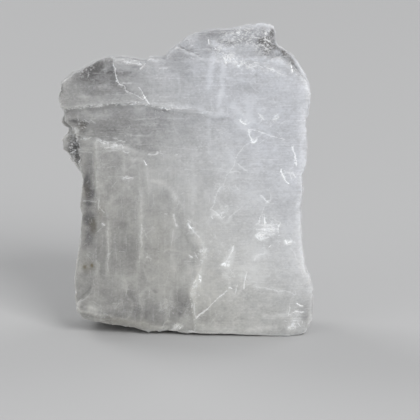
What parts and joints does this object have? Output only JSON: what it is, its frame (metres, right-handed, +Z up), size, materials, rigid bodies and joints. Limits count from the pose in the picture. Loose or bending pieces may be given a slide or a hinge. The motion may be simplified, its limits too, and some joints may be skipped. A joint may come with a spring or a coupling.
{
  "type": "cryolite specimen",
  "caption": "Milky white, translucent cryolite cleavage slab with stepped parting ledges and a knob at its upper corner. It stands on a flat lower edge.",
  "frame": {"origin": "bottom centre of the slab's box, on the surface it stands on", "axes": "+Z up, the broad front face towards -Y and leaning back 8 degrees, +X to the right as seen from the front"},
  "size_m": [0.039, 0.02, 0.0469],
  "materials": {
    "cryolite": "translucent milky white, waxy to glassy, fine striations, bright internal cracks and a few clear or smoky edges"
  },
  "bodies": {
    "root": {"cryolite": "cryolite"}
  },
  "joints": []
}
